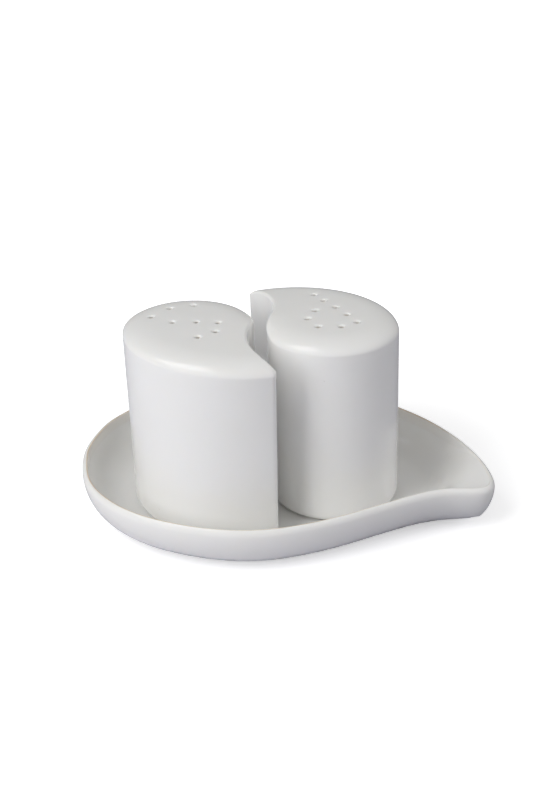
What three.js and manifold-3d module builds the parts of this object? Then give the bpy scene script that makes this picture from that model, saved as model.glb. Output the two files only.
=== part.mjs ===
// Porcelain salt and pepper set: two hollow comma-shaped shakers that nest head to tail on a
// leaf-shaped tray. Each shaker is filled through its base and closed by a soft stopper.
// Millimetres, +Z up. Origin: centre of the tray's outline, on the table.
import * as THREE from 'three';
import { mergeVertices } from 'three/addons/utils/BufferGeometryUtils.js';
import Module from 'manifold-3d';

const wasm = await Module();
wasm.setup();

const { clamp, degToRad, smoothstep } = THREE.MathUtils;

// ---------- shaker outline: round head, curved back, pointed tail, hollow ----------
// Head centre at the origin, hollow on the +X side, tail on the -Y side.
const HEAD_R = 25.4;
const NEST_GAP = 7.3; // between a head and the hollow it nests in
const BACK_R = 45.1;
const BACK_START = degToRad(197.1); // where the back leaves the head
const TAIL_R = 2.1;
const TAIL_MIN_R = 0.8; // smallest tail radius on inset outlines
const ARC_POINTS = { back: 20, tail: 6, hollow: 16, head: 34 };
// the tail is shifted along LEAN_DIR, growing in from LEAN_START to LEAN_END along that way
const LEAN_DIR = [0.81, -0.58];
const LEAN_START = 28;
const LEAN_END = 50;
const LEAN_BASE = -1.5; // shift at the base
const LEAN_TOP = 0.3; // shift at the top

// ---------- shaker body ----------
const BODY_H = 75.6; // height over the middle of the top
const DOME_W = 12; // the top falls away towards its outer edge over this width
const DOME_H = 4.2; // and by this much
const DOME_START_POWER = 2.2; // how early the fall starts
const DOME_END_POWER = 2.1; // how upright it ends
const DOME_FADE = degToRad(50); // part of the head over which the fall grows from none
const CROWN_RATE = 0.00096; // slight crown over the whole top, per mm of squared distance
const CROWN_AT = [-1, -4];
const CROWN_ALLOWANCE = 1.5; // extra porcelain over the chamber, for the crown
const SOLE_R = 3.0; // rounded edge round the base
const WALL = 3.2;
const RECESS_INSET = 8.4; // outline to the recess in the base
const RECESS_FLARE = 0.3; // extra inset at the recess's upper end
const RECESS_H = 3.0;
const BASE_T = 3.5; // base plate over the recess
const CHAMBER_BASE = RECESS_H + BASE_T;
const CHAMBER_TOP = BODY_H - CROWN_ALLOWANCE - WALL;
const CHAMBER_BEVEL = 3; // inward, at both ends of the chamber
const CHAMBER_BASE_BEVEL_H = 4;
const CHAMBER_TOP_BEVEL_H = 3;
const FILL_R = 8.5; // filling hole in the base
const FILL_OVERCUT = 1; // the filling hole's cutter passes the base plate by this much
const POUR_R = 1.0; // each shaker hole
const OVERCUT = 2; // the recess and shaker hole cutters pass the porcelain by this much

// ---------- stopper ----------
const FIT_GAP = 0.3; // between flange and base plate
const FLANGE_R = 11.0;
const FLANGE_T = 1.2;
const FLANGE_TOP = RECESS_H - FIT_GAP;
const FLANGE_BASE = FLANGE_TOP - FLANGE_T;
const PLUG_R = 8.2;
const PLUG_TOP = 10.2;
const PLUG_SKIN = 1.9;
const PLUG_BEVEL = { width: 0.9, height: 1.6 };
const GRIP_W = 1.8;
const GRIP_RAISE = 0.4; // grip bar's lower edge above the flange's underside
const GRIP_COVER = 1.0; // from the bar's ends and top to the outside of the plug

// ---------- tray ----------
const FLOOR_Z = 5.8; // top of the flat floor
const RIM_Z = 20.4; // crest of the rim
const LIP_W = 1.75; // outer rounding of the rim
const LIP_H = 2.5;
const OUTER_W = 11.7; // width of the outer wall's curve
const OUTER_POWER = 1.8; // how full that curve is
const UNDER_Z = 1.45; // underside beside the foot
const INNER_W = 13.5; // width of the inner wall's curve
const INNER_MARGIN = 0.8; // the wall's rings run on this far over the floor
const TIP_DIR = degToRad(-25); // the way the leaf's tip points
const RAMP_START = 57; // along that way, where the floor starts climbing to the tip
const RAMP_END = 79;
const TIP_DROP = 0.8; // the tip's flat stays this much below the rim
const FOOT_AT = [-12.7, -0.6]; // centre of the oval foot ring
const FOOT_HALF_X = 54.8;
const FOOT_HALF_Y = 46.2;
const FOOT_W = 3.4;
const FOOT_INNER_SLOPE = 0.9; // sideways run of the ring's sides
const FOOT_OUTER_SLOPE = 1.0;
const FOOT_RECESS = 1.8; // height of the underside inside the foot ring
const OUTLINE_POINTS = 400; // fine outline, used to measure distances
const RING_POINTS = 80; // points on each ring of the surface
const ROOM_SHARE = 0.8; // rings reach in over this share of the room there is
const MIN_REACH = 1; // but at least this far past the lip
// outline at its widest, before centring: [x, y], anticlockwise from the -X end, tip at +X -Y
const LEAF = [
  [-78.9, -21.8], [-74.0, -32.4], [-65.8, -43.0], [-55.8, -51.4], [-44.4, -57.6], [-31.0, -62.6],
  [-17.1, -65.2], [-4.6, -64.9], [8.5, -62.0], [23.8, -56.5], [39.3, -49.1], [54.4, -42.5],
  [63.3, -40.5], [74.5, -40.8], [78.3, -39.9], [80.9, -37.1], [82.0, -31.9], [80.9, -19.3],
  [76.8, -5.0], [70.9, 8.4], [63.1, 21.1], [53.6, 32.4], [42.2, 44.2], [31.2, 53.0],
  [19.5, 59.3], [6.6, 63.3], [-7.5, 65.2], [-21.9, 65.0], [-35.1, 62.6], [-46.7, 58.0],
  [-56.8, 50.8], [-66.9, 40.3], [-74.6, 29.8], [-79.1, 18.2], [-81.9, 4.7], [-81.5, -7.8],
];

// ---------- the two shakers on the tray ----------
const SEAT_GAP = 0.2; // between the tray floor and a shaker's base
// at: head centre; turn: about Z; holes: [x, y] in the shaker's own frame
const SHAKERS = [
  {
    name: 'salt',
    at: [-35.0, -5.5],
    turn: degToRad(-16.9),
    holes: [
      [-2.2, 13.5], [-10.2, 8.3], [-14.4, -1.6], [-4.2, -5.3],
      [4.8, -3.1], [12.9, -1.7], [14.5, -10.0], [9.8, -16.4],
    ],
  },
  {
    name: 'pepper',
    at: [20.7, -12.1],
    turn: degToRad(161.2),
    holes: [
      [14.3, -24.5], [8.6, -18.5], [2.0, -12.2], [-4.1, -6.0], [-9.7, 0.4],
      [-5.1, 5.9], [3.5, 7.8], [9.5, 1.4], [8.9, -7.1],
    ],
  },
];

// ---------- helpers ----------
// closed solid from a geometry, ready to be joined or cut
function solid(geometry) {
  // seams only close once the attributes that differ across them are gone
  geometry.deleteAttribute('normal');
  geometry.deleteAttribute('uv');
  const merged = mergeVertices(geometry, 1e-4);
  const corners = merged.index.array;
  const triangles = [];
  for (let i = 0; i < corners.length; i += 3) {
    const [a, b, c] = corners.slice(i, i + 3);
    if (a !== b && b !== c && c !== a) triangles.push(a, b, c);
  }
  return new wasm.Manifold(new wasm.Mesh({
    numProp: 3,
    vertProperties: new Float32Array(merged.attributes.position.array),
    triVerts: new Uint32Array(triangles),
  }));
}

function toGeometry(manifold) {
  const mesh = manifold.getMesh();
  const geometry = new THREE.BufferGeometry();
  geometry.setAttribute('position', new THREE.Float32BufferAttribute(mesh.vertProperties, 3));
  geometry.setIndex(new THREE.Uint32BufferAttribute(mesh.triVerts, 1));
  geometry.computeVertexNormals();
  return geometry;
}

// solid through a stack of rings, each an anticlockwise list of [x, y, z] with the same count,
// closed by a cap at both ends
function loft(rings) {
  const count = rings[0].length;
  const index = [];
  for (let k = 0; k + 1 < rings.length; k++) {
    for (let j = 0; j < count; j++) {
      const next = (j + 1) % count;
      const low = k * count;
      const high = low + count;
      index.push(low + j, low + next, high + next);
      index.push(low + j, high + next, high + j);
    }
  }
  const cap = (k, facesDown) => {
    const contour = rings[k].map(([x, y]) => new THREE.Vector2(x, y));
    const start = k * count;
    for (const [a, b, c] of THREE.ShapeUtils.triangulateShape(contour, [])) {
      if (facesDown) index.push(start + a, start + c, start + b);
      else index.push(start + a, start + b, start + c);
    }
  };
  cap(0, true);
  cap(rings.length - 1, false);
  const geometry = new THREE.BufferGeometry();
  geometry.setAttribute('position', new THREE.Float32BufferAttribute(rings.flat(2), 3));
  geometry.setIndex(index);
  return solid(geometry);
}

// upright cylinder from z = bottom to z = top
function cylinder({ radius, bottom, top, x, y, segments }) {
  const geometry = new THREE.CylinderGeometry(radius, radius, top - bottom, segments);
  geometry.rotateX(Math.PI / 2);
  geometry.translate(x, y, (bottom + top) / 2);
  return solid(geometry);
}

// distance from (x, y) to a segment, and where along it (0 to 1) the nearest point lies
function toSegment(x, y, [startX, startY], [endX, endY]) {
  const dx = endX - startX;
  const dy = endY - startY;
  const share = ((x - startX) * dx + (y - startY) * dy) / (dx * dx + dy * dy);
  const along = clamp(share, 0, 1);
  return { along, distance: Math.hypot(x - startX - along * dx, y - startY - along * dy) };
}

// ---------- comma outline ----------
const HOLLOW_AT = [2 * HEAD_R + NEST_GAP, 0];
const BACK_AT = [
  (HEAD_R - BACK_R) * Math.cos(BACK_START),
  (HEAD_R - BACK_R) * Math.sin(BACK_START),
];

// direction from one point to another, as an angle no less than `least`
function angleFrom(from, to, least) {
  let angle = Math.atan2(to[1] - from[1], to[0] - from[0]);
  while (angle < least) angle += 2 * Math.PI;
  return angle;
}

// the tail's arc touches both the hollow and the back: the lower meeting point of two circles
function tailCentre(fromHollow, fromBack) {
  const dx = BACK_AT[0] - HOLLOW_AT[0];
  const dy = BACK_AT[1] - HOLLOW_AT[1];
  const span = Math.hypot(dx, dy);
  const along = (fromHollow ** 2 - fromBack ** 2 + span ** 2) / (2 * span);
  const across = Math.sqrt(fromHollow ** 2 - along ** 2);
  return [
    HOLLOW_AT[0] + (along * dx - across * dy) / span,
    HOLLOW_AT[1] + (along * dy + across * dx) / span,
  ];
}

// ring at height z: four tangent arcs, pulled in by `inset`
function comma(inset, z) {
  const hollowR = HEAD_R + NEST_GAP + inset;
  const backR = BACK_R - inset;
  const tailR = Math.max(TAIL_R - inset, TAIL_MIN_R);
  const tailAt = tailCentre(hollowR + tailR, backR - tailR);
  const backEnd = angleFrom(BACK_AT, tailAt, BACK_START);
  const tailEnd = angleFrom(tailAt, HOLLOW_AT, backEnd);
  const hollowStart = angleFrom(HOLLOW_AT, tailAt, 0);
  const shift = LEAN_BASE + (LEAN_TOP - LEAN_BASE) * z / BODY_H;
  const ring = [];
  const arc = (centre, radius, start, end, count) => {
    const curve = new THREE.ArcCurve(centre[0], centre[1], radius, start, end, end < start);
    for (let i = 0; i < count; i++) {
      const { x, y } = curve.getPoint(i / count);
      const along = LEAN_DIR[0] * x + LEAN_DIR[1] * y;
      const lean = smoothstep(along, LEAN_START, LEAN_END) * shift;
      ring.push([x + LEAN_DIR[0] * lean, y + LEAN_DIR[1] * lean, z]);
    }
  };
  arc(BACK_AT, backR, BACK_START, backEnd, ARC_POINTS.back);
  arc(tailAt, tailR, backEnd, tailEnd, ARC_POINTS.tail);
  arc(HOLLOW_AT, hollowR, hollowStart, Math.PI, ARC_POINTS.hollow);
  arc([0, 0], HEAD_R - inset, 0, BACK_START, ARC_POINTS.head);
  return ring;
}

// ---------- shaker ----------
// the top's outer edge: from the hollow's end round the head and back to the middle of the tail
const topRing = comma(0, BODY_H);
const outerEdge = [
  ...topRing.slice(ARC_POINTS.back + ARC_POINTS.tail + ARC_POINTS.hollow),
  ...topRing.slice(0, ARC_POINTS.back + ARC_POINTS.tail / 2),
];

// height of the top: a slight crown, falling away to the head and the back, not to the hollow
function topHeight(x, y) {
  let nearest = Infinity;
  let position = 0; // along outerEdge, in points
  for (let i = 0; i + 1 < outerEdge.length; i++) {
    const { distance, along } = toSegment(x, y, outerEdge[i], outerEdge[i + 1]);
    if (distance < nearest) {
      nearest = distance;
      position = i + along;
    }
  }
  const fade = smoothstep(position * BACK_START / ARC_POINTS.head, 0, DOME_FADE);
  const closeness = clamp((DOME_W - nearest) / DOME_W, 0, 1);
  const drop = 1 - Math.pow(1 - Math.pow(closeness, DOME_START_POWER), 1 / DOME_END_POWER);
  const crown = CROWN_RATE * ((x - CROWN_AT[0]) ** 2 + (y - CROWN_AT[1]) ** 2);
  return BODY_H - DOME_H * fade * drop - crown;
}

function shakerBlank() {
  const rings = [];
  for (const degrees of [90, 60, 30, 0]) {
    const angle = degToRad(degrees);
    rings.push(comma(SOLE_R * (1 - Math.cos(angle)), SOLE_R * (1 - Math.sin(angle))));
  }
  for (const inset of [0, 0.25, 0.9, 2.1, 4.2, 7.5, 12]) {
    rings.push(comma(inset, BODY_H).map(([x, y]) => [x, y, topHeight(x, y)]));
  }
  return loft(rings);
}

// stands on z = 0 with its head centre at the origin
function shaker(holes) {
  const recess = loft([
    comma(RECESS_INSET, -OVERCUT),
    comma(RECESS_INSET + RECESS_FLARE, RECESS_H),
  ]);
  const chamber = loft([
    comma(WALL + CHAMBER_BEVEL, CHAMBER_BASE),
    comma(WALL, CHAMBER_BASE + CHAMBER_BASE_BEVEL_H),
    comma(WALL, CHAMBER_TOP - CHAMBER_TOP_BEVEL_H),
    comma(WALL + CHAMBER_BEVEL, CHAMBER_TOP),
  ]);
  const fillHole = cylinder({
    radius: FILL_R,
    bottom: RECESS_H - FILL_OVERCUT,
    top: CHAMBER_BASE + FILL_OVERCUT,
    x: 0,
    y: 0,
    segments: 32,
  });
  let body = shakerBlank().subtract(recess).subtract(chamber).subtract(fillHole);
  for (const [x, y] of holes) {
    const bottom = CHAMBER_TOP - OVERCUT;
    const top = BODY_H + OVERCUT;
    body = body.subtract(cylinder({ radius: POUR_R, bottom, top, x, y, segments: 8 }));
  }
  return body;
}

// ---------- stopper: a cup, open below, with a flange and a grip bar; in its shaker's frame ----------
function stopper() {
  const profile = [ // [radius, z]
    [0, PLUG_TOP - PLUG_SKIN],
    [PLUG_R - PLUG_SKIN, PLUG_TOP - PLUG_SKIN],
    [PLUG_R - PLUG_SKIN, FLANGE_BASE],
    [FLANGE_R, FLANGE_BASE],
    [FLANGE_R, FLANGE_TOP],
    [PLUG_R, FLANGE_TOP],
    [PLUG_R, PLUG_TOP - PLUG_BEVEL.height],
    [PLUG_R - PLUG_BEVEL.width, PLUG_TOP],
    [0, PLUG_TOP],
  ];
  const cup = new THREE.LatheGeometry(profile.map(([r, z]) => new THREE.Vector2(r, z)), 32);
  cup.rotateX(Math.PI / 2); // the lathe's axis from +Y to +Z
  const barBase = FLANGE_BASE + GRIP_RAISE;
  const barTop = PLUG_TOP - GRIP_COVER;
  const bar = new THREE.BoxGeometry(2 * (PLUG_R - GRIP_COVER), GRIP_W, barTop - barBase);
  bar.translate(0, 0, (barTop + barBase) / 2);
  return solid(cup).add(solid(bar));
}

// ---------- tray ----------
// fine, evenly spaced outline as [x, y], centred on the origin
function leafOutline() {
  const points = LEAF.map(([x, y]) => new THREE.Vector3(x, y, 0));
  const curve = new THREE.CatmullRomCurve3(points, true, 'centripetal');
  curve.arcLengthDivisions = 2000;
  const spaced = curve.getSpacedPoints(OUTLINE_POINTS).slice(0, OUTLINE_POINTS);
  const centre = new THREE.Box3().setFromPoints(spaced).getCenter(new THREE.Vector3());
  return spaced.map(({ x, y }) => [x - centre.x, y - centre.y]);
}
const outline = leafOutline();
const outlineAt = (i) => outline[(i + OUTLINE_POINTS) % OUTLINE_POINTS];

function fromEdge(x, y) {
  return Math.min(...outline.map((p, i) => toSegment(x, y, p, outlineAt(i + 1)).distance));
}

// height of the outer wall at an inset from the outline
function outerHeight(inset) {
  const outward = 1 - Math.min(1, inset / OUTER_W);
  const drop = Math.pow(1 - Math.pow(outward, OUTER_POWER), 1 / OUTER_POWER);
  const top = RIM_Z - LIP_H;
  return top - (top - UNDER_Z) * drop;
}

// height of the inner surface: bowl wall blended into the climb to the tip
function innerHeight(x, y) {
  const depth = RIM_Z - FLOOR_Z;
  const towardsTip = x * Math.cos(TIP_DIR) + y * Math.sin(TIP_DIR);
  const climb = (depth - TIP_DROP) / depth * smoothstep(towardsTip, RAMP_START, RAMP_END);
  const across = clamp((fromEdge(x, y) - LIP_W) / INNER_W, 0, 1);
  const bowl = Math.sqrt(1 - (1 - across) * (1 - across));
  return FLOOR_Z + depth * (1 - bowl * (1 - climb));
}

// unit vector into the leaf, square to the outline at point i
function inwardAt(i) {
  const before = outlineAt(i - 1);
  const after = outlineAt(i + 1);
  const dx = after[0] - before[0];
  const dy = after[1] - before[1];
  const length = Math.hypot(dx, dy);
  return [-dy / length, dx / length];
}

// radius of the largest circle that touches the outline at a point from inside
function touchingRadius(point, inward) {
  let radius = 1e3;
  for (const [x, y] of outline) {
    const dx = x - point[0];
    const dy = y - point[1];
    const depth = dx * inward[0] + dy * inward[1];
    if (depth > 1e-3) radius = Math.min(radius, (dx * dx + dy * dy) / (2 * depth));
  }
  return radius;
}

function tray() {
  const edge = [];
  const inward = [];
  for (let j = 0; j < RING_POINTS; j++) {
    const i = j * OUTLINE_POINTS / RING_POINTS;
    edge.push(outline[i]);
    inward.push(inwardAt(i));
  }
  // room for insets at each point: the least of its neighbourhood, then smoothed
  const neighbours = (list, j) =>
    [-2, -1, 0, 1, 2].map((k) => list[(j + k + RING_POINTS) % RING_POINTS]);
  const radii = edge.map((point, j) => touchingRadius(point, inward[j]));
  const least = radii.map((_, j) => Math.min(...neighbours(radii, j)));
  const room = least.map((_, j) => neighbours(least, j).reduce((sum, r) => sum + r, 0) / 5);

  // ring at an inset; short of room, insets shrink in proportion so that rings never cross
  const ring = (inset, deepest, height) => edge.map(([x, y], j) => {
    const reach = Math.min(deepest, Math.max(LIP_W + MIN_REACH, ROOM_SHARE * room[j]));
    const shrink = (reach - LIP_W) / (deepest - LIP_W);
    const actual = inset <= LIP_W ? inset : LIP_W + (inset - LIP_W) * shrink;
    const ringX = x + inward[j][0] * actual;
    const ringY = y + inward[j][1] * actual;
    return [ringX, ringY, height(actual, ringX, ringY)];
  });
  // foot ring outline, one point for each outline point
  const oval = (grow, z) => edge.map(([x, y]) => {
    const angle = Math.atan2((y - FOOT_AT[1]) / FOOT_HALF_Y, (x - FOOT_AT[0]) / FOOT_HALF_X);
    return [
      FOOT_AT[0] + (FOOT_HALF_X + grow) * Math.cos(angle),
      FOOT_AT[1] + (FOOT_HALF_Y + grow) * Math.sin(angle),
      z,
    ];
  });

  const rings = [
    oval(-FOOT_W - FOOT_INNER_SLOPE, FOOT_RECESS),
    oval(-FOOT_W, 0),
    oval(0, 0),
    oval(FOOT_OUTER_SLOPE, UNDER_Z),
  ];
  // outer wall, from the foot up
  for (const share of [1, 0.72, 0.46, 0.24, 0.1, 0.03]) {
    rings.push(ring(OUTER_W * share, OUTER_W, outerHeight));
  }
  // lip, from the widest outline to the crest
  for (const degrees of [0, 45, 90]) {
    const angle = degToRad(degrees);
    const z = RIM_Z - LIP_H * (1 - Math.sin(angle));
    rings.push(ring(LIP_W * (1 - Math.cos(angle)), OUTER_W, () => z));
  }
  // inner wall, from the crest down
  const wallSpan = INNER_W + INNER_MARGIN;
  for (const share of [0.04, 0.16, 0.36, 0.64, 1]) {
    const inset = LIP_W + wallSpan * share;
    rings.push(ring(inset, LIP_W + wallSpan, (_, x, y) => innerHeight(x, y)));
  }
  // floor: the last ring, scaled towards the foot's centre
  const wallFoot = rings.at(-1);
  for (const scale of [0.91, 0.82, 0.7, 0.45]) {
    rings.push(wallFoot.map(([wallX, wallY]) => {
      const x = FOOT_AT[0] + (wallX - FOOT_AT[0]) * scale;
      const y = FOOT_AT[1] + (wallY - FOOT_AT[1]) * scale;
      return [x, y, innerHeight(x, y)];
    }));
  }
  return loft(rings);
}

// ---------- assembly ----------
function porcelain() {
  return new THREE.MeshStandardMaterial({ color: 0xe6e5e1, roughness: 0.22, metalness: 0.0 });
}

function silicone() {
  return new THREE.MeshStandardMaterial({ color: 0xd9dbd8, roughness: 0.55, metalness: 0.0 });
}

function piece(name, manifold, material) {
  const mesh = new THREE.Mesh(toGeometry(manifold), material);
  mesh.name = name;
  return mesh;
}

const set = new THREE.Group();
set.add(piece('tray', tray(), porcelain()));
for (const { name, at, turn, holes } of SHAKERS) {
  const place = new THREE.Group();
  place.position.set(at[0], at[1], FLOOR_Z + SEAT_GAP);
  place.rotation.z = turn;
  place.add(piece(`${name}_shaker`, shaker(holes), porcelain()));
  place.add(piece(`${name}_stopper`, stopper(), silicone()));
  set.add(place);
}

export default set;
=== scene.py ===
# A salt and pepper set: two comma-shaped porcelain shakers with silicone stoppers,
# standing head to hollow on a leaf-shaped porcelain tray.
# +Z is up and the front faces -Y. The tray is centred on the origin, its foot on z = 0,
# and its tip points right and slightly forward. Shapes are worked out in millimetres and
# become metres in piece(); stage, lights and camera are in metres.
import math
import bpy
import numpy as np
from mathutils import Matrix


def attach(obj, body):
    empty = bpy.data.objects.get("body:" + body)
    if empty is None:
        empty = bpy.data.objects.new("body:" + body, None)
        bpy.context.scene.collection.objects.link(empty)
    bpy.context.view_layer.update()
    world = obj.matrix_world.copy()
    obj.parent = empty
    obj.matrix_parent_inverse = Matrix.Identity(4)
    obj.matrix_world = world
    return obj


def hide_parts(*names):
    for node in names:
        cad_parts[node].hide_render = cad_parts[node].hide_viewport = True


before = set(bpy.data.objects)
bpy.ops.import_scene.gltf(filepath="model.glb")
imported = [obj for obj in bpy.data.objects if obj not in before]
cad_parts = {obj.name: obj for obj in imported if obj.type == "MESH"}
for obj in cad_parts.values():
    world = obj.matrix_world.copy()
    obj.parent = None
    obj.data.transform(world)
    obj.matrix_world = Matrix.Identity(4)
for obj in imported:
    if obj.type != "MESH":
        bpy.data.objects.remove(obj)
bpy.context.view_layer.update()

import openvdb
from mathutils import Matrix, Vector, geometry

RAD = math.pi / 180.0


# ---------------------------------------------------------------- curves and point sets
def ease(start, end, value):
    """Smooth step: 0 at start, 1 at end, level at both."""
    k = np.clip((value - start) / (end - start), 0, 1)
    return k * k * (3 - 2 * k)


def quarter(count):
    """Sine and cosine at even steps from 0 to 90 degrees."""
    return [(math.sin(t), math.cos(t)) for t in np.linspace(0, 90, count) * RAD]


def circle(centre, radius, count):
    t = np.arange(count) * 2 * math.pi / count
    return np.column_stack([centre[0] + radius * np.cos(t), centre[1] + radius * np.sin(t)])


def lift(xy, z):
    """Plane points raised to z, one height or one for each point."""
    return np.column_stack([xy, np.broadcast_to(z, (len(xy),))])


def inward_normals(loop):
    """Unit normals to the left of travel: inward on an anticlockwise loop."""
    along = np.roll(loop, -1, 0) - np.roll(loop, 1, 0)
    along /= np.hypot(*along.T)[:, None]
    return np.column_stack([-along[:, 1], along[:, 0]])


def nearest(line, points):
    """Distance from each point to an open polyline, and where on it, in segments."""
    best = np.full(len(points), 1e18)
    place = np.zeros(len(points))
    for i in range(len(line) - 1):
        side = line[i + 1] - line[i]
        offset = points - line[i]
        t = np.clip((offset @ side) / (side @ side + 1e-12), 0, 1)
        square = ((offset - t[:, None] * side) ** 2).sum(1)
        place = np.where(square < best, i + t, place)
        best = np.minimum(best, square)
    return np.sqrt(best), place


def loop_distance(loop, points):
    return nearest(np.vstack([loop, loop[:1]]), points)[0]


def inside(loop, points):
    """Even-odd test of points against a closed loop."""
    result = np.zeros(len(points), bool)
    for (x0, y0), (x1, y1) in zip(loop, np.roll(loop, -1, 0)):
        crosses = (y0 > points[:, 1]) != (y1 > points[:, 1])
        if crosses.any():
            x = (x1 - x0) * (points[:, 1] - y0) / ((y1 - y0) or 1e-12) + x0
            result ^= crosses & (points[:, 0] < x)
    return result


def hexgrid(low, high, step):
    rows = []
    for i, y in enumerate(np.arange(low[1], high[1] + step, step * math.sqrt(3) / 2)):
        xs = np.arange(low[0] + (step / 2 if i % 2 else 0), high[0] + step, step)
        rows.append(np.column_stack([xs, np.full(len(xs), y)]))
    return np.concatenate(rows)


def infill(outline, corners, step, least, most=math.inf):
    """Grid points inside an outline, further from it than `least` and no further than `most`."""
    outline = outline[:, :2]
    grid = hexgrid(*corners, step)
    grid = grid[inside(outline, grid)]
    distance = loop_distance(outline, grid)
    return grid[(distance > least) & (distance <= most)]


def clear_of(centres, distance, points):
    """The points further than `distance` from every centre."""
    for x, y in centres:
        points = points[np.hypot(points[:, 0] - x, points[:, 1] - y) > distance]
    return points


def patch(outer, holes, inner, loops=()):
    """Triangles inside `outer` and outside `holes`, through `inner` points and extra loops."""
    outer = outer[:, :2]
    points, edges = [], []
    for loop in [outer, *holes, *loops]:
        start, count = len(points), len(loop)
        points += [tuple(p) for p in loop]
        edges += [(start + i, start + (i + 1) % count) for i in range(count)]
    points += [tuple(p) for p in inner]
    result = geometry.delaunay_2d_cdt([Vector(p) for p in points], edges, [], 0, 1e-7, True)
    verts, faces, origins = result[0], result[2], result[3]
    xy = np.array([[p.x, p.y] for p in verts])
    # put back the full precision of the given points, so that borders weld
    source = np.asarray(points, float)
    for i, origin in enumerate(origins):
        if len(origin):
            xy[i] = source[origin[0]]
    tri = np.array([f for f in faces if len(f) == 3], int)
    centre = xy[tri].mean(1)
    keep = inside(outer, centre)
    for hole in holes:
        keep &= ~inside(hole, centre)
    tri = tri[keep]
    a, b, c = xy[tri[:, 0]], xy[tri[:, 1]], xy[tri[:, 2]]
    area = (b[:, 0] - a[:, 0]) * (c[:, 1] - a[:, 1]) - (b[:, 1] - a[:, 1]) * (c[:, 0] - a[:, 0])
    tri[area < 0] = tri[area < 0][:, ::-1]
    return xy, tri[np.abs(area) > 1e-9]


def match_border(xy, z, border):
    """Gives points that lie on the border ring that ring's height, in place."""
    heights = {(round(p[0], 5), round(p[1], 5)): p[2] for p in border}
    for i, p in enumerate(xy):
        key = (round(p[0], 5), round(p[1], 5))
        if key in heights:
            z[i] = heights[key]


# ---------------------------------------------------------------- mesh assembly
def put(verts, place):
    """Turns and moves vertices; place is ((x, y), degrees about Z, z)."""
    (x, y), turn, z = place
    c, s = math.cos(turn * RAD), math.sin(turn * RAD)
    return np.column_stack([x + c * verts[:, 0] - s * verts[:, 1],
                            y + s * verts[:, 0] + c * verts[:, 1],
                            verts[:, 2] + z])


def piece(name, verts, faces, paint):
    """A smooth-shaded object in metres from vertices in millimetres."""
    mesh = bpy.data.meshes.new(name)
    mesh.from_pydata((verts * 0.001).tolist(), [], faces)
    mesh.validate()
    mesh.polygons.foreach_set("use_smooth", np.ones(len(mesh.polygons), bool))
    for key, values in paint.items():
        attribute = mesh.attributes.new(key, "FLOAT", "POINT")
        attribute.data.foreach_set("value", np.asarray(values, np.float32))
    mesh.update()
    ob = bpy.data.objects.new(name, mesh)
    bpy.context.scene.collection.objects.link(ob)
    return ob


class Builder:
    """Gathers blocks of vertices and faces, then welds equal points into one object.

    One mark is unglazed clay, also painted as shade inside the pouring holes; amber marks an amber
    tint along the tray rim's inner edge. Both run from 0 to 1.
    """

    def __init__(self):
        self.verts, self.faces, self.count = [], [], 0
        self.paint = {"bare": [], "amber": []}

    def add(self, verts, faces, bare=0.0, amber=0.0):
        self.verts.append(verts)
        self.paint["bare"].append(np.broadcast_to(bare, (len(verts),)))
        self.paint["amber"].append(np.broadcast_to(amber, (len(verts),)))
        for face in faces:
            self.faces.append(tuple(int(i) + self.count for i in face))
        self.count += len(verts)

    def strip(self, rings, flip=False, bare=0.0, amber=0.0):
        """Quads between rings of equal count; outward if rings are anticlockwise and climb.

        The clay and hole-shade mark is one value or one for each ring; amber is one value or one
        for each vertex.
        """
        n = len(rings[0])
        faces = []
        for k in range(len(rings) - 1):
            for j in range(n):
                following = (j + 1) % n
                a, b = k * n + j, k * n + following
                c, d = (k + 1) * n + following, (k + 1) * n + j
                faces.append((a, d, c, b) if flip else (a, b, c, d))
        bare = np.repeat(np.broadcast_to(bare, (len(rings),)), n)
        self.add(np.concatenate(rings), faces, bare, amber)

    def make(self, name, place=None):
        verts = np.concatenate(self.verts)
        key = np.round(verts * 2000.0).astype(np.int64)
        _, first, welded = np.unique(key, axis=0, return_index=True, return_inverse=True)
        # number the welded points in order of first appearance
        order = np.argsort(first)
        rank = np.empty_like(order)
        rank[order] = np.arange(len(order))
        welded = rank[welded.reshape(-1)]
        verts = verts[first[order]]
        paint = {}
        for key, blocks in self.paint.items():
            paint[key] = np.zeros(len(verts))
            np.maximum.at(paint[key], welded, np.concatenate(blocks))
        faces = []
        for face in self.faces:
            corners = list(dict.fromkeys(int(welded[i]) for i in face))
            if len(corners) >= 3:
                faces.append(corners)
        return piece(name, verts if place is None else put(verts, place), faces, paint)


# ---------------------------------------------------------------- shaker dimensions, mm
# In its own frame a shaker's head is centred on the origin, its hollow faces +X,
# its tail curls round to +X and -Y, and it stands on z = 0.
HEAD_R = 25.4
NEST_GAP = 7.3                    # the hollow's radius is the head's plus this
BACK_R = 45.1
BACK_AT = 197.1                   # degrees round the head where the back arc takes over
TAIL_R, TAIL_MIN_R = 2.1, 0.8
LEAN_DIR = (0.81, -0.58)          # towards the tail
LEAN_FROM, LEAN_TO = 28, 50       # distances along LEAN_DIR where the lean grows in
TAIL_LEAN = (-1.5, 0.3)           # shift of the tail at the foot and at the top

BODY_H, WALL = 75.6, 3.2
SOLE_R = 3.0                      # rounding of the foot's outer edge
SOLE_INNER_R = 0.8                # rounding of the foot's inner edge
SHOULDER_H = 8.5                  # the straight wall's rings stop this far below the top
CEILING_DROP = 1.5                # lowers the chamber's ceiling, besides the wall
CHAMBER_R = 3.0                   # rounding inside the chamber
CEILING_Z = BODY_H - CEILING_DROP - WALL

CROWN_CURVE, CROWN_AT = 0.00096, (-1.0, -4.0)   # shallow paraboloid over the whole top
DOME_W, DOME_H = 12.0, 4.2        # width and fall of the domed shoulder
DOME_IN_POWER, DOME_OUT_POWER = 2.2, 2.1
DOME_FADE = 50.0                  # degrees round the head over which the fall grows in
HOLLOW_EDGE_R = 1.2               # crisp edge along the hollow
BAND_MIN, BAND_MAX = 1.1, 4.0     # width of the shoulder's band of rings

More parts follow.
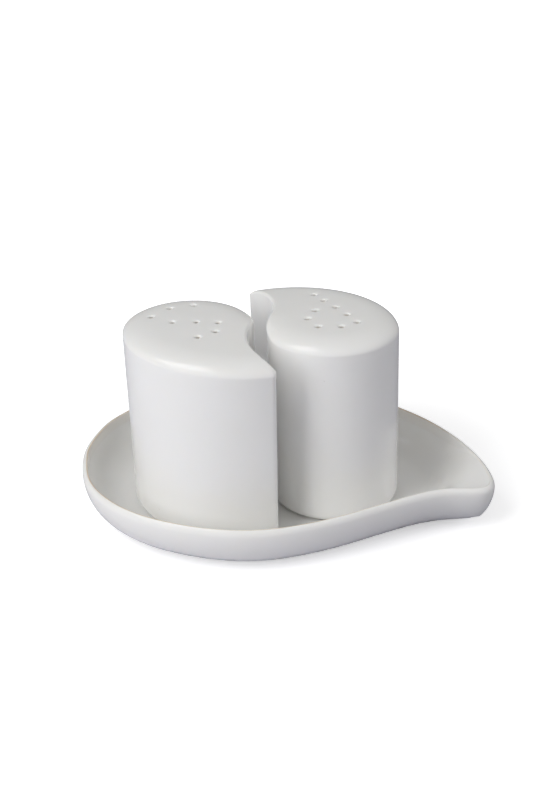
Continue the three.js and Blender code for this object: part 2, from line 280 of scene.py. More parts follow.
RECESS_INSET, RECESS_H, RECESS_FILLET = 8.4, 3.0, 1.2
BASE_T = 3.5
CHAMBER_Z = RECESS_H + BASE_T
FILL_R, FILL_EDGE_R = 8.5, 0.7    # filling hole in the base and its rounded edges
FILL_N = 96

POUR_R, POUR_SOFT, POUR_DEEP = 1.0, 1.15, 0.7   # pouring hole, and its mouth's width and depth
POUR_N = 36
BORE_END_R = POUR_R + 0.25        # pouring hole where it meets the ceiling

SEAT_Z = 6.0
SALT_PLACE = ((-35.0, -5.5), -16.9, SEAT_Z)
PEPPER_PLACE = ((20.7, -12.1), 161.2, SEAT_Z)
# hole centres, x and y in the shaker's frame
SALT_HOLES = [
    (-2.2, 13.5), (-10.2, 8.3), (-14.4, -1.6), (-4.2, -5.3),
    (4.8, -3.1), (12.9, -1.7), (14.5, -10.0), (9.8, -16.4)]
PEPPER_HOLES = [
    (14.3, -24.5), (8.6, -18.5), (2.0, -12.2), (-4.1, -6.0), (-9.7, 0.4),
    (-5.1, 5.9), (3.5, 7.8), (9.5, 1.4), (8.9, -7.1)]

# points along the back, tail, hollow and head, outside and in the chamber
FINE, COARSE = (116, 28, 88, 184), (58, 10, 44, 92)


# ---------------------------------------------------------------- shakers
def comma(inset, counts, z):
    """The comma outline at height z, moved inward by inset: back, tail, hollow, head."""
    def angle(to, centre, least):
        t = math.atan2(to[1] - centre[1], to[0] - centre[0])
        while t < least:
            t += 2 * math.pi
        return t

    head_r, hollow_r, back_r = HEAD_R - inset, HEAD_R + NEST_GAP + inset, BACK_R - inset
    tail_r = max(TAIL_R - inset, TAIL_MIN_R)
    hollow_c = np.array([head_r + hollow_r, 0.0])
    back_from = BACK_AT * RAD
    back_c = np.array([(head_r - back_r) * math.cos(back_from),
                       (head_r - back_r) * math.sin(back_from)])
    # the tail touches the hollow from outside and the back from inside
    r1, r2 = hollow_r + tail_r, back_r - tail_r
    apart = back_c - hollow_c
    distance = np.hypot(*apart)
    x = (r1 * r1 - r2 * r2 + distance * distance) / (2 * distance)
    y = math.sqrt(max(0.0, r1 * r1 - x * x))
    along = apart / distance
    across = np.array([-along[1], along[0]])
    tail_c = min((hollow_c + x * along + y * across, hollow_c + x * along - y * across),
                 key=lambda p: p[1])
    tail_from = angle(tail_c, back_c, back_from)
    tail_to = angle(hollow_c, tail_c, tail_from)
    hollow_from = angle(tail_c, hollow_c, 0)
    arcs = ((back_c, back_r, back_from, tail_from),
            (tail_c, tail_r, tail_from, tail_to),
            (hollow_c, hollow_r, hollow_from, math.pi),
            (np.zeros(2), head_r, 0.0, back_from))
    points = []
    for (centre, radius, start, end), count in zip(arcs, counts):
        t = np.linspace(start, end, count, endpoint=False)
        points.append(np.column_stack([centre[0] + radius * np.cos(t),
                                       centre[1] + radius * np.sin(t)]))
    points = np.concatenate(points)
    tailward = LEAN_DIR[0] * points[:, 0] + LEAN_DIR[1] * points[:, 1]
    shift = TAIL_LEAN[0] + (TAIL_LEAN[1] - TAIL_LEAN[0]) * z / BODY_H
    return points + np.outer(ease(LEAN_FROM, LEAN_TO, tailward) * shift, LEAN_DIR)


TOP_OUTLINE = comma(0.0, FINE, BODY_H)
# head, back and half the tail: the outline without its hollow
CONVEX_SIDE = np.concatenate([TOP_OUTLINE[sum(FINE[:3]):],
                              TOP_OUTLINE[:FINE[0] + FINE[1] // 2]])


def crown(xy):
    """Height of the domed top: it falls to the head and back, not to the hollow."""
    distance, place = nearest(CONVEX_SIDE, xy)
    fade = ease(0, DOME_FADE, place * BACK_AT / FINE[3])
    near_edge = np.clip((DOME_W - distance) / DOME_W, 0, 1)
    fall = DOME_H * fade * (1 - (1 - near_edge ** DOME_IN_POWER) ** (1 / DOME_OUT_POWER))
    bulge = (xy[:, 0] - CROWN_AT[0]) ** 2 + (xy[:, 1] - CROWN_AT[1]) ** 2
    return BODY_H - fall - CROWN_CURVE * bulge


def mouth_drop(xy, holes):
    """How far the soft mouths of the pouring holes sink below the crown."""
    drop = np.zeros(len(xy))
    for x, y in holes:
        r = np.hypot(xy[:, 0] - x, xy[:, 1] - y)
        q = np.clip((POUR_R + POUR_SOFT - r) / POUR_SOFT, 0, 1)
        drop += POUR_DEEP * (1 - np.sqrt(np.clip(1 - q ** 2.0, 0, 1)))
        drop += 0.08 * np.exp(-(r / 2.6) ** 2)
    return drop


def wall_rings():
    """Rings from the recess roof, under the foot and up the wall, and how unglazed each is."""
    profile = []                                 # inset, z, bare
    fillet, inner_r = RECESS_FILLET, SOLE_INNER_R
    for s, c in quarter(7):
        profile.append((RECESS_INSET + fillet - fillet * s, RECESS_H - fillet + fillet * c, 0.0))
    for s, c in quarter(6):
        profile.append((RECESS_INSET - inner_r + inner_r * c, inner_r - inner_r * s,
                        1.0 if s > 0.77 else 0.0))
    for inset in (RECESS_INSET - inner_r - 1.0, SOLE_R + 2.2, SOLE_R + 0.9):
        profile.append((inset, 0.0, 1.0))
    for s, c in reversed(quarter(13)):
        profile.append((SOLE_R * (1 - c), SOLE_R * (1 - s), 1.0 if s > 0.94 else 0.0))
    for z in np.linspace(SOLE_R, BODY_H - SHOULDER_H, 26)[1:]:
        profile.append((0.0, z, 0.0))
    rings = [lift(comma(inset, FINE, z), z) for inset, z, _ in profile]
    return rings, [bare for _, _, bare in profile]


def shoulder_rings():
    """Rings from the wall's upper edge in over the shoulder."""
    back_n, tail_n, hollow_n, _ = FINE
    index = np.arange(sum(FINE))
    hollow = (index - back_n - tail_n) / hollow_n    # 0 at the tail, 1 where it meets the head
    # 1 along the hollow's crisp edge, 0 where the dome's fall takes over
    crisp = ease(0, 1, np.minimum((hollow + 0.16) / 0.16, (1.55 - hollow) / 0.5))
    # the tail is narrow, so the band of rings narrows towards it
    reach = BAND_MIN + (BAND_MAX - BAND_MIN) * ease(0, 0.22 * back_n, back_n - index)
    reach = np.where(index < back_n, reach, np.where(hollow < 0.5, BAND_MIN, BAND_MAX))
    widest = (1 - (1 - reach / DOME_W) ** DOME_IN_POWER) ** (1 / DOME_OUT_POWER)
    inward = inward_normals(TOP_OUTLINE)
    rings = []
    for s, c in quarter(23):
        dome = 1 - (1 - (widest * s) ** DOME_OUT_POWER) ** (1 / DOME_IN_POWER)
        depth = (1 - crisp) * DOME_W * dome + crisp * HOLLOW_EDGE_R * (1 - c)
        xy = TOP_OUTLINE + inward * depth[:, None]
        rings.append(lift(xy, crown(xy) - crisp * HOLLOW_EDGE_R * (1 - s)))
    return rings


def chamber_rings():
    """Rings of the chamber's wall, from floor to ceiling."""
    r, low, high = CHAMBER_R, CHAMBER_Z, CEILING_Z
    profile = [(WALL + r - r * s, low + r - r * c) for s, c in quarter(7)]
    profile += [(WALL, z) for z in np.linspace(low + r, high - r, 8)[1:-1]]
    profile += [(WALL + r - r * c, high - r + r * s) for s, c in quarter(7)]
    return [lift(comma(inset, COARSE, z), z) for inset, z in profile]


def add_top(mesh, edge, corners, holes):
    """The crown inside the shoulder, with a soft mouth at each pouring hole."""
    radii = POUR_R + POUR_SOFT * (1 - np.cos(np.linspace(0, 90, 9) * RAD))
    points = []
    for hole in holes:
        points += [circle(hole, r, POUR_N) for r in radii[1:]]
        points.append(circle(hole, radii[-1] + 0.45, POUR_N))
        points.append(circle(hole, radii[-1] + 1.0, 28))
    grid = infill(edge, corners, 1.0, 0.6)
    points.append(clear_of(holes, radii[-1] + 1.5, grid))
    mouths = [circle(hole, POUR_R, POUR_N) for hole in holes]
    xy, tri = patch(edge, mouths, np.concatenate(points))
    z = crown(xy) - mouth_drop(xy, holes)
    match_border(xy, z, edge)
    mesh.add(lift(xy, z), tri)


def add_ceiling(mesh, outline, corners, holes):
    grid = clear_of(holes, 2.0, infill(outline, corners, 2.4, 1.2))
    xy, tri = patch(outline, [circle(hole, BORE_END_R, POUR_N) for hole in holes], grid)
    mesh.add(lift(xy, CEILING_Z), tri[:, ::-1])


def add_bore(mesh, hole, holes):
    """One pouring hole's wall, from its mouth to the chamber."""
    mouth = circle(hole, POUR_R, POUR_N)
    mouth_z = crown(mouth) - mouth_drop(mouth, holes)
    rings = [lift(mouth, mouth_z)]
    for k in (0.15, 0.4, 0.7, 0.9):
        rings.append(lift(mouth, mouth_z * (1 - k) + (CEILING_Z + 0.25) * k))
    rings.append(lift(circle(hole, POUR_R + 0.08, POUR_N), CEILING_Z + 0.08))
    rings.append(lift(circle(hole, BORE_END_R, POUR_N), CEILING_Z))
    # painted shade: the bore takes the unglazed clay colour, darker than the glaze, a little at
    # the mouth and strongly further in
    mesh.strip(rings, bare=[0.35] + [0.9] * (len(rings) - 1))


def add_base(mesh, roof, floor, corners):
    """The recess roof below, the chamber floor above, and the filling hole through them."""
    r = FILL_EDGE_R
    hole = circle((0, 0), FILL_R + r, FILL_N)
    for outline, z, faces_down in ((roof, RECESS_H, True), (floor, CHAMBER_Z, False)):
        grid = clear_of([(0, 0)], FILL_R + r + 1.2, infill(outline, corners, 2.6, 1.0))
        xy, tri = patch(outline, [hole], grid)
        mesh.add(lift(xy, z), tri[:, ::-1] if faces_down else tri)
    profile = [(FILL_R + r - r * s, RECESS_H + r - r * c) for s, c in quarter(6)]
    profile += [(FILL_R + r - r * c, CHAMBER_Z - r + r * s) for s, c in quarter(6)]
    mesh.strip([lift(circle((0, 0), radius, FILL_N), z) for radius, z in profile], flip=True)


def shaker(name, holes, place):
    mesh = Builder()
    wall, bare = wall_rings()
    shoulder = shoulder_rings()
    mesh.strip(wall + shoulder, bare=bare + [0.0] * len(shoulder))
    edge = shoulder[-1]
    corners = (edge[:, :2].min(0), edge[:, :2].max(0))
    add_top(mesh, edge, corners, holes)
    chamber = chamber_rings()
    mesh.strip(chamber, flip=True)
    add_ceiling(mesh, chamber[-1], corners, holes)
    for hole in holes:
        add_bore(mesh, hole, holes)
    add_base(mesh, wall[0], chamber[0], corners)
    return mesh.make(name, place)


# ---------------------------------------------------------------- tray dimensions, mm
FLOOR_Z, RIM_Z, UNDER_Z = 5.8, 20.4, 1.45    # bowl floor, crest of the rim, underside
LIP_R, LIP_H = 1.75, 2.5                     # width and height of the lip's outer rounding
EDGE_ROUND = 0.55                            # rounding of the rim's inner edge
OUT_W, OUT_POWER = 11.7, 1.8                 # outer wall's width and curve
IN_W = 13.5                                  # inner wall's width
TIP_DIR = -25.0                              # degrees from +X
RAMP_FROM, RAMP_TO = 57.0, 79.0              # distances along TIP_DIR where the floor climbs
TIP_DROP = 0.8                               # how far below the rim the climb ends
FOOT_C, FOOT_A, FOOT_B = (-12.7, -0.6), 54.8, 46.2   # oval foot: centre, half-axes in x and y
FOOT_RECESS = 1.8                            # height of the underside inside the foot
# outline at its widest, anticlockwise: x, y
LEAF = [
    (-78.9, -21.8), (-74.0, -32.4), (-65.8, -43.0), (-55.8, -51.4), (-44.4, -57.6), (-31.0, -62.6),
    (-17.1, -65.2), (-4.6, -64.9), (8.5, -62.0), (23.8, -56.5), (39.3, -49.1), (54.4, -42.5),
    (63.3, -40.5), (74.5, -40.8), (78.3, -39.9), (80.9, -37.1), (82.0, -31.9), (80.9, -19.3),
    (76.8, -5.0), (70.9, 8.4), (63.1, 21.1), (53.6, 32.4), (42.2, 44.2), (31.2, 53.0),
    (19.5, 59.3), (6.6, 63.3), (-7.5, 65.2), (-21.9, 65.0), (-35.1, 62.6), (-46.7, 58.0),
    (-56.8, 50.8), (-66.9, 40.3), (-74.6, 29.8), (-79.1, 18.2), (-81.9, 4.7), (-81.5, -7.8)]
LEAF_SAMPLES = 2048
LEAF_HARMONICS = 46.0                        # finer harmonics of the outline fade out
EDGE_N = 760


# ---------------------------------------------------------------- tray
def evenly(loop, count):
    """A closed loop resampled at equal steps of length."""
    closed = np.vstack([loop, loop[:1]])
    length = np.r_[0, np.cumsum(np.hypot(*np.diff(closed, axis=0).T))]
    s = np.linspace(0, length[-1], count, endpoint=False)
    return np.column_stack([np.interp(s, length, closed[:, i]) for i in (0, 1)])


def leaf(count):
    """The tray's outline, centred, smoothed and evenly spaced."""
    points = np.array(LEAF)
    n = len(points)
    spans = []
    for i in range(n):                           # centripetal Catmull-Rom
        p0, p1, p2, p3 = points[i - 1], points[i], points[(i + 1) % n], points[(i + 2) % n]
        t = [0.0]
        for a, b in ((p0, p1), (p1, p2), (p2, p3)):
            t.append(t[-1] + max(np.hypot(*(b - a)) ** 0.5, 1e-9))
        middle = (p2 - p1) / (t[2] - t[1])
        m1 = (p1 - p0) / (t[1] - t[0]) - (p2 - p0) / (t[2] - t[0]) + middle
        m2 = middle - (p3 - p1) / (t[3] - t[1]) + (p3 - p2) / (t[3] - t[2])
        m1, m2 = m1 * (t[2] - t[1]), m2 * (t[2] - t[1])
        s = np.linspace(0, 1, 64, endpoint=False)[:, None]
        spans.append((2 * s ** 3 - 3 * s ** 2 + 1) * p1 + (s ** 3 - 2 * s ** 2 + s) * m1
                     + (-2 * s ** 3 + 3 * s ** 2) * p2 + (s ** 3 - s ** 2) * m2)
    loop = evenly(np.concatenate(spans), LEAF_SAMPLES)
    loop = loop - (loop.min(0) + loop.max(0)) / 2
    spectrum = np.fft.fft(loop[:, 0] + 1j * loop[:, 1])
    harmonic = np.abs(np.fft.fftfreq(LEAF_SAMPLES, 1 / LEAF_SAMPLES))
    smoothed = np.fft.ifft(spectrum * np.exp(-(harmonic / LEAF_HARMONICS) ** 4))
    return evenly(np.column_stack([smoothed.real, smoothed.imag]), count)


EDGE = leaf(EDGE_N)
EDGE_IN = inward_normals(EDGE)
EDGE_STEP = np.hypot(*(np.roll(EDGE, -1, 0) - EDGE).T)
EDGE_CORNERS = (EDGE.min(0), EDGE.max(0))


def depth_in(xy):
    """Distance in from the outline: exact near the edge, rounded over the middle."""
    exact = loop_distance(EDGE, xy)
    # integral round the edge of an inverse power of distance, in blocks to save memory
    power = 4.0
    total = np.zeros(len(xy))
    for i in range(0, EDGE_N, 40):
        block = slice(i, i + 40)
        offset = xy[:, None, :] - EDGE[None, block]
        square = (offset ** 2).sum(2) + 1e-9
        inward = (offset * EDGE_IN[None, block]).sum(2)
        total += (inward / square ** ((power + 2) / 2) * EDGE_STEP[None, block]).sum(1)
    rounded = (np.maximum(total, 1e-12) / (3 * math.pi / 8)) ** (-1 / power)
    blend = ease(2.2, 5.7, exact)
    return exact * (1 - blend) + np.minimum(rounded, 60) * blend


def toward_tip(xy):
    return xy[:, 0] * math.cos(TIP_DIR * RAD) + xy[:, 1] * math.sin(TIP_DIR * RAD)


def outer_height(depth):
    k = np.clip(depth / OUT_W, 0, 1)
    top = RIM_Z - LIP_H
    return top - (top - UNDER_Z) * (1 - (1 - k) ** OUT_POWER) ** (1 / OUT_POWER)


def inner_height(xy, depth):
    """Height of the bowl: its wall from the rim, and the floor's climb to the tip."""
    t = np.clip((depth - LIP_R) / IN_W, 0, 1)
    wall = 1 - np.sqrt(np.clip(1 - (1 - t) ** 2, 0, 1))
    top = RIM_Z - FLOOR_Z
    climb = (top - TIP_DROP) * ease(RAMP_FROM, RAMP_TO, toward_tip(xy)) / top
    return FLOOR_Z + top * (1 - (1 - wall) * (1 - climb))


def rim_rings():
    """Rings up the outer wall, over the crest and into the bowl, and their amber tint."""
    rings, past_crest = [], []
    for depth in (4.4, 3.6, 2.9, 2.3, 1.8, 1.35, 1.0, 0.7, 0.45, 0.25, 0.1, 0.03):
        rings.append(lift(EDGE + EDGE_IN * depth, outer_height(depth)))
    for s, c in quarter(15):
        rings.append(lift(EDGE + EDGE_IN * (LIP_R * (1 - c)), RIM_Z - LIP_H * (1 - s)))
    # only the last four rings before the bowl are near enough to the crest to be tinted
    untinted = len(rings) - 4
    past_crest = [-LIP_R * c for _, c in quarter(15)[-4:]]
    for past in (0.06, 0.12, 0.19, 0.26, 0.34, 0.42, 0.5, 0.6, 0.72, 0.9, 1.15, 1.5, 2.0, 2.6):
        xy = EDGE + EDGE_IN * (LIP_R + past)
        z = inner_height(xy, LIP_R + past)
        if past < EDGE_ROUND:
            k = past / EDGE_ROUND
            z = np.maximum(z, RIM_Z - EDGE_ROUND * (1 - math.sqrt(1 - k * k)))
        rings.append(lift(xy, z))
        past_crest.append(past)
    fade = 0.15 + 0.85 * ease(72, 38, toward_tip(EDGE))      # weaker towards the tip
    amber = [np.zeros(EDGE_N)] * untinted
    amber += [fade * math.exp(-((past - 0.16) / 0.26) ** 2) for past in past_crest]
    return rings, np.concatenate(amber)


def add_bowl(mesh, edge):
    """The bowl inside the rim's rings, on a grid twice as fine near the rim."""
    step = 1.5
    low, high = EDGE_CORNERS
    middle = infill(edge, (low, high), step, 5.0)
    border = infill(edge, (low + 0.37, high), step / 2, 0.7, 5.0)
    xy, tri = patch(edge, [], np.concatenate([middle, border]))
    z = inner_height(xy, depth_in(xy))
    match_border(xy, z, edge)
    mesh.add(lift(xy, z), tri)


def add_underside(mesh, edge):
    """The underside with its oval foot ring, whose sole is unglazed."""
    n = 240
    t = np.arange(n) * 2 * math.pi / n
    oval = np.column_stack([FOOT_C[0] + FOOT_A * np.cos(t), FOOT_C[1] + FOOT_B * np.sin(t)])
    normal_x, normal_y = FOOT_B * np.cos(t), FOOT_A * np.sin(t)
    length = np.hypot(normal_x, normal_y)
    inward = -np.column_stack([normal_x / length, normal_y / length])
    sole_middle = 1.7
    # distances in from the oval
    offsets = [-1.6, -1.0, -0.45, 0.0, 0.35, 0.8, sole_middle, 2.6, 3.05, 3.4, 3.85, 4.4, 5.0]
    grid = infill(edge, EDGE_CORNERS, 2.4, 1.2)
    grid = grid[loop_distance(oval + inward * sole_middle, grid) > 4.4]
    xy, tri = patch(edge, [], grid, [oval + inward * offset for offset in offsets])
    in_oval = ((xy[:, 0] - FOOT_C[0]) / FOOT_A) ** 2 + ((xy[:, 1] - FOOT_C[1]) / FOOT_B) ** 2 < 1
    within = loop_distance(oval, xy) * np.where(in_oval, 1, -1)
    z = outer_height(depth_in(xy)) * (1 - ease(-1.3, 0.35, within))
    recess = ease(3.05, 4.7, within)
    z = z * (1 - recess) + FOOT_RECESS * recess
    match_border(xy, z, edge)
    bare = ((within > 0.1) & (within < 3.3)).astype(float)
    mesh.add(lift(xy, z), tri[:, ::-1], bare)


def tray(name):
    mesh = Builder()
    rings, amber = rim_rings()
    mesh.strip(rings, amber=amber)
    add_bowl(mesh, rings[-1])
    add_underside(mesh, rings[0])
    return mesh.make(name)


# ---------------------------------------------------------------- stoppers, mm
FLANGE_R, FLANGE_T = 11.0, 1.2
FIT_GAP = 0.3                     # between the flange and the recess roof
PLUG_R, PLUG_TOP, PLUG_SKIN = 8.2, 10.2, 1.9
RIB_ZS, RIB_R, RIB_SINK = (4.9, 7.3), 0.34, 0.12
MOUTH_R = 0.95                    # rounding of the cup's mouth
GRIP_W, GRIP_R = 1.8, 0.4         # finger bar's thickness and the rounding of its edges
GRIP_CLEAR = 1.0                  # bar's ends and top lie this far inside the plug's surface
GRIP_RISE = 0.4                   # bar's lower edge above the flange's
PULL_R, PULL_RISE = 1.7, 3.2      # hole through the bar: radius, height above the flange


def stopper(name, place):
    """A cup open below, with flange, two ribs and a finger bar, from a distance field."""
    cell = 0.17
    margin = 1.2
    xs = np.arange(-FLANGE_R - margin, FLANGE_R + margin + cell, cell)
    zs = np.arange(0.6, PLUG_TOP + margin + cell, cell)
    X, Y, Z = np.meshgrid(xs, xs, zs, indexing="ij")
    R = np.hypot(X, Y)

    def disc(radius, low, high, rounding):
        dx = R - (radius - rounding)
        dz = np.abs(Z - (low + high) / 2) - ((high - low) / 2 - rounding)
        outside = np.hypot(np.maximum(dx, 0), np.maximum(dz, 0))
        return np.minimum(np.maximum(dx, dz), 0) + outside - rounding

    def join(a, b, blend):
        w = np.clip(0.5 + 0.5 * (b - a) / blend, 0, 1)
        return b * (1 - w) + a * w - blend * w * (1 - w)

    flange_top = RECESS_H - FIT_GAP
    bottom = flange_top - FLANGE_T
    body = disc(PLUG_R, bottom, PLUG_TOP, 0.9)
    body = join(body, disc(FLANGE_R, bottom, flange_top, 0.5), 0.35)
    for rib_z in RIB_ZS:
        body = join(body, np.hypot(R - PLUG_R + RIB_SINK, Z - rib_z) - RIB_R, 0.3)
    cup = disc(PLUG_R - PLUG_SKIN, bottom - 6.0, PLUG_TOP - PLUG_SKIN, 1.1)
    body = np.maximum(body, -cup)
    mouth_r, mouth_z = PLUG_R - PLUG_SKIN + MOUTH_R, bottom + MOUTH_R
    mouth = np.hypot(R - mouth_r, Z - mouth_z) - MOUTH_R
    body = np.where((R < mouth_r) & (Z < mouth_z), np.maximum(body, mouth), body)

    grip_low, grip_high = bottom + GRIP_RISE, PLUG_TOP - GRIP_CLEAR
    bx = np.abs(X) - (PLUG_R - GRIP_CLEAR - GRIP_R)
    by = np.abs(Y) - (GRIP_W / 2 - GRIP_R)
    bz = np.abs(Z - (grip_high + grip_low) / 2) - ((grip_high - grip_low) / 2 - GRIP_R)
    dx, dy, dz = np.maximum(bx, 0), np.maximum(by, 0), np.maximum(bz, 0)
    grip = np.sqrt(dx * dx + dy * dy + dz * dz)
    grip = grip + np.minimum(np.maximum(bx, np.maximum(by, bz)), 0) - GRIP_R
    grip = np.maximum(grip, PULL_R - np.hypot(X, Z - (bottom + PULL_RISE)))
    body = join(body, grip, 0.8)

    grid = openvdb.FloatGrid(background=1.5)
    grid.copyFromArray(np.clip(body, -1.5, 1.5).astype(np.float32), tolerance=0.0)
    points, triangles, quads = grid.convertToPolygons(isovalue=0.0, adaptivity=0.0)
    points = np.asarray(points, float) * cell + np.array([xs[0], xs[0], zs[0]])
    faces = [tuple(int(i) for i in face)[::-1] for face in [*quads, *triangles]]
    # turn the faces outward if they enclose a negative volume
    p0, p1, p2, p3 = (points[quads[:, i]] for i in (3, 2, 1, 0))
    if (p0 * (np.cross(p1, p2) + np.cross(p2, p3))).sum() < 0:
        faces = [face[::-1] for face in faces]
    return piece(name, put(points, place), faces, {"bare": np.zeros(len(points))})


# ---------------------------------------------------------------- materials
class Shader:
    """A node material in the making. Its methods return output sockets."""

    def __init__(self, name):
        self.material = bpy.data.materials.new(name)
        self.material.use_nodes = True
        self.tree = self.material.node_tree
        self.tree.nodes.clear()
        self.output = self.add("OutputMaterial")
        self.coords = self.add("TexCoord").outputs["Object"]

    def add(self, kind, inputs=None, **settings):
        """A node; each input is given a value or linked to a socket."""
        node = self.tree.nodes.new("ShaderNode" + kind)
        for key, value in settings.items():
            setattr(node, key, value)
        for key, value in (inputs or {}).items():
            if isinstance(value, bpy.types.NodeSocket):
                self.tree.links.new(value, node.inputs[key])
            else:
                node.inputs[key].default_value = value
        return node

    def surface(self, node):
        self.tree.links.new(node.outputs[0], self.output.inputs[0])
        return self.material

    def noise(self, scale, detail, roughness=0.5):
        return self.add("TexNoise", {"Vector": self.coords, "Scale": scale, "Detail": detail,
                                     "Roughness": roughness}).outputs["Fac"]

    def attribute(self, name):
        return self.add("Attribute", attribute_name=name).outputs["Fac"]

    def remap(self, value, to, source=(0.0, 1.0), curve="LINEAR"):
        return self.add("MapRange", {"Value": value, "From Min": source[0],
                                     "From Max": source[1], "To Min": to[0], "To Max": to[1]},
                        interpolation_type=curve).outputs[0]

    def ramp(self, value, colours, stops=(0.0, 1.0)):
        node = self.add("ValToRGB", {0: value})
        for element, colour, stop in zip(node.color_ramp.elements, colours, stops):
            element.position = stop
            element.color = (*colour, 1)
        return node.outputs[0]

    def math(self, operation, a, b):
        return self.add("Math", {0: a, 1: b}, operation=operation).outputs[0]

    def mix(self, factor, a, b, kind="RGBA"):
        return self.add("Mix", {"Factor": factor, "A": a, "B": b},
                        data_type=kind).outputs["Result"]

    def bump(self, height, strength, distance, **inputs):
        return self.add("Bump", {"Height": height, "Strength": strength,
                                 "Distance": distance, **inputs}).outputs[0]


def specked(sh, colour):
    """A few tiny dark specks: dots at the centres of one cell in ten."""
    cells = sh.add("TexVoronoi", {"Vector": sh.coords, "Scale": 62.0})
    pick = sh.add("SeparateColor", {0: cells.outputs["Color"]}).outputs[0]
    rare = sh.math("GREATER_THAN", pick, 0.90)
    dot = sh.remap(cells.outputs["Distance"], to=(0.18, 0.0), source=(0.008, 0.022))
    return sh.mix(sh.math("MULTIPLY", rare, dot), colour, (0.30, 0.25, 0.20, 1))


def amber_rim_edge(sh, colour):
    """Amber along the rim's inner edge, in uneven strength."""
    uneven = sh.remap(sh.noise(scale=55.0, detail=3.0), to=(0.55, 1.0), source=(0.35, 0.65))
    amount = sh.math("MULTIPLY", sh.attribute("amber"), uneven)
    return sh.mix(amount, colour, (0.66, 0.46, 0.24, 1))


def porcelain(name, tint, amber=False):
    """Faintly translucent white body under a clear, slightly uneven glaze."""
    sh = Shader(name)
    cloudy = (tint[0] * 0.985, tint[1] * 0.984, tint[2] * 0.975)
    cloud = sh.noise(scale=38.0, detail=4.0, roughness=0.55)
    colour = specked(sh, sh.ramp(cloud, colours=(cloudy, tint), stops=(0.3, 0.7)))
    if amber:
        colour = amber_rim_edge(sh, colour)
    # unglazed clay where marked, which inside the pouring holes is painted shade
    bare = sh.attribute("bare")
    grain = sh.noise(scale=900.0, detail=6.0, roughness=0.7)
    clay = sh.ramp(grain, colours=((0.60, 0.555, 0.49), (0.74, 0.70, 0.64)))
    colour = sh.mix(bare, colour, clay)
    glaze_roughness = sh.remap(sh.noise(scale=140.0, detail=3.0), to=(0.12, 0.19))
    clay_roughness = 0.85
    roughness = sh.mix(bare, glaze_roughness, clay_roughness, kind="FLOAT")
    # slow waves, fine orange peel, and grain on the unglazed clay and in the holes
    waves = sh.bump(sh.noise(scale=26.0, detail=2.0, roughness=0.4),
                    strength=0.5, distance=0.0006)
    peel = sh.bump(sh.noise(scale=420.0, detail=2.0), strength=0.25, distance=0.00003,
                   Normal=waves)
    normal = sh.bump(grain, strength=bare, distance=0.00025, Normal=peel)
    return sh.surface(sh.add("BsdfPrincipled", {
        "Base Color": colour,
        "Roughness": roughness,
        "IOR": 1.5,
        "Subsurface Weight": 0.12,
        "Subsurface Radius": (1.0, 0.85, 0.7),
        "Subsurface Scale": 0.002,
        "Normal": normal}))


def silicone(name):
    """Milky, translucent and matt."""
    sh = Shader(name)
    mottle = sh.noise(scale=220.0, detail=4.0)
    return sh.surface(sh.add("BsdfPrincipled", {
        "Base Color": sh.ramp(mottle, colours=((0.70, 0.715, 0.695), (0.80, 0.81, 0.79))),
        "Roughness": sh.remap(mottle, to=(0.38, 0.62)),
        "IOR": 1.42,
        "Subsurface Weight": 0.35,
        "Subsurface Radius": (1.0, 0.95, 0.85),
        "Subsurface Scale": 0.003,
        "Normal": sh.bump(sh.noise(scale=2600.0, detail=3.0), strength=0.35,
                          distance=0.00004)}))


def pale_floor(name):
    """Bright to the camera by a painted glow, least near the set, so its shade is lifted to white
    but for a contact shadow; dimmer, least at the right, in reflections and bounced light, a
    painted shade.
    """
    sh = Shader(name)
    from_centre = sh.add("VectorMath", {0: sh.coords}, operation="LENGTH").outputs["Value"]
    # painted light: the floor glows to the camera, more away from the centre
    glow = sh.remap(from_centre, to=(0.46, 0.80), source=(0.07, 0.20), curve="SMOOTHSTEP")
    seen = sh.add("BsdfPrincipled", {
        "Base Color": (0.90, 0.90, 0.905, 1),
        "Roughness": 0.6,
        "Emission Color": (1, 1, 1, 1),
        "Emission Strength": glow})
    x = sh.add("SeparateXYZ", {0: sh.coords}).outputs["X"]
    # painted shade: bounced light and reflections of the floor are darker at the right
    rightward = sh.remap(x, to=(0.0, 1.0), source=(-0.06, 0.13), curve="SMOOTHSTEP")
    left, right = (0.68, 0.68, 0.75, 1), (0.34, 0.34, 0.40, 1)
    bounced = sh.add("BsdfDiffuse", {0: sh.mix(rightward, left, right)})
    to_camera = sh.add("LightPath").outputs["Is Camera Ray"]
    return sh.surface(sh.add("MixShader", {0: to_camera, 1: bounced.outputs[0],
                                           2: seen.outputs[0]}))


# ---------------------------------------------------------------- the set
tray_body = tray("tray_body")
salt = shaker("salt_body", SALT_HOLES, SALT_PLACE)
pepper = shaker("pepper_body", PEPPER_HOLES, PEPPER_PLACE)
salt_plug = stopper("salt_stopper_body", SALT_PLACE)
pepper_plug = stopper("pepper_stopper_body", PEPPER_PLACE)

tray_glaze = porcelain("glazed_porcelain_tray", tint=(0.92, 0.915, 0.897), amber=True)
shaker_glaze = porcelain("glazed_porcelain_shaker", tint=(0.92, 0.917, 0.905))
milky = silicone("milky_silicone")

for ob, node, slot, material in (
        (tray_body, "tray", "tray_porcelain", tray_glaze),
        (salt, "salt_shaker", "shaker_porcelain", shaker_glaze),
        (pepper, "pepper_shaker", "shaker_porcelain", shaker_glaze),
        (salt_plug, "salt_stopper", "stopper_silicone", milky),
        (pepper_plug, "pepper_stopper", "stopper_silicone", milky)):
    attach(ob, node)
    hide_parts(node)
    ob.data.materials.append(material)

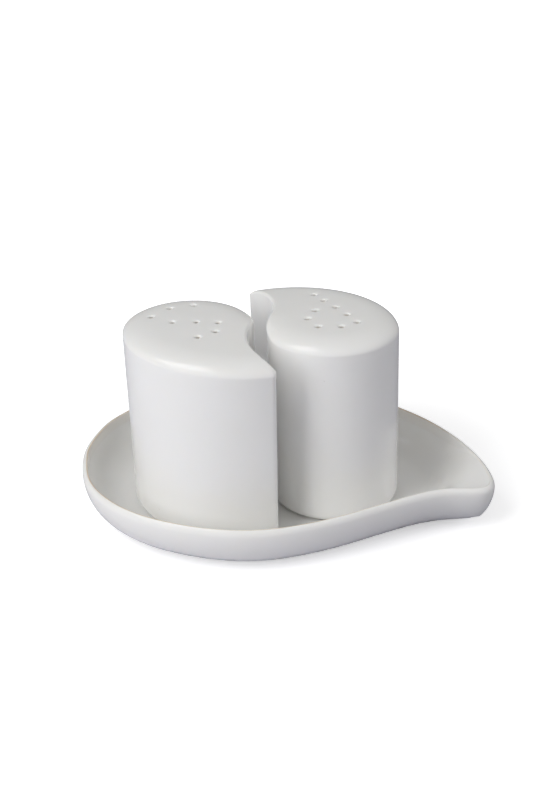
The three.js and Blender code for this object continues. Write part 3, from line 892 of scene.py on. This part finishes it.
# ---------------------------------------------------------------- floor and world, metres
scene = bpy.context.scene
HALF = 6.0
floor_mesh = bpy.data.meshes.new("floor")
floor_mesh.from_pydata([(-HALF, -HALF, 0), (HALF, -HALF, 0), (HALF, HALF, 0), (-HALF, HALF, 0)],
                       [], [(0, 1, 2, 3)])
floor = bpy.data.objects.new("floor", floor_mesh)
scene.collection.objects.link(floor)
floor_mesh.materials.append(pale_floor("pale_floor"))

world = bpy.data.worlds.new("studio")
scene.world = world
world.use_nodes = True
background = world.node_tree.nodes["Background"]
background.inputs["Color"].default_value = (0.975, 0.975, 0.965, 1)
background.inputs["Strength"].default_value = 0.352


# ---------------------------------------------------------------- lights
LIGHT_TARGET = (0, 0, 0.04)


def area(name, azimuth, elevation, distance, size, power, color=(1, 1, 1), gloss=False):
    """Area light aimed at the target; azimuth is in degrees from the front towards +X.

    It lights either matt surfaces or, with gloss, only reflections.
    """
    light = bpy.data.lights.new(name, "AREA")
    light.shape = "RECTANGLE"
    light.size, light.size_y = size
    light.energy, light.color = power, color
    ob = bpy.data.objects.new(name, light)
    a, e = azimuth * RAD, elevation * RAD
    away = Vector((math.sin(a) * math.cos(e), -math.cos(a) * math.cos(e), math.sin(e)))
    ob.location = Vector(LIGHT_TARGET) + away * distance
    ob.rotation_euler = away.to_track_quat("Z", "Y").to_euler()
    ob.visible_glossy = gloss
    ob.visible_diffuse = not gloss
    scene.collection.objects.link(ob)


area("key", azimuth=-51, elevation=37, distance=1.3, size=(0.65, 1.35), power=10.4)
area("side", azimuth=82, elevation=25, distance=1.5, size=(1.0, 0.9), power=4.4,
     color=(0.97, 0.96, 1.0))
area("front", azimuth=-8, elevation=20, distance=1.5, size=(1.0, 0.7), power=0.7)
area("sheen", azimuth=-92, elevation=62, distance=1.3, size=(0.7, 0.7), power=4.2, gloss=True)

# ---------------------------------------------------------------- camera
CAMERA_AT = (-0.0056388, -0.4521374, 0.2645881)
CAMERA_DOWN, CAMERA_ROLL = 26.2304, -2.0577      # degrees
camera_data = bpy.data.cameras.new("camera")
camera_data.sensor_width = 36.0                  # mm
camera_data.lens = 55.9806292                    # mm
camera_data.clip_start, camera_data.clip_end = 0.01, 50
camera = bpy.data.objects.new("camera", camera_data)
scene.collection.objects.link(camera)
scene.camera = camera
down, roll = CAMERA_DOWN * RAD, CAMERA_ROLL * RAD
back = np.array([0, -math.cos(down), math.sin(down)])
level = np.array([1.0, 0, 0])
upright = np.cross(back, level)
right = math.cos(roll) * level + math.sin(roll) * upright
up = -math.sin(roll) * level + math.cos(roll) * upright
rows = [(right[i], up[i], back[i], CAMERA_AT[i]) for i in range(3)]
camera.matrix_world = Matrix((*rows, (0, 0, 0, 1)))
scene.view_settings.view_transform = "Standard"
scene.view_settings.look = "None"
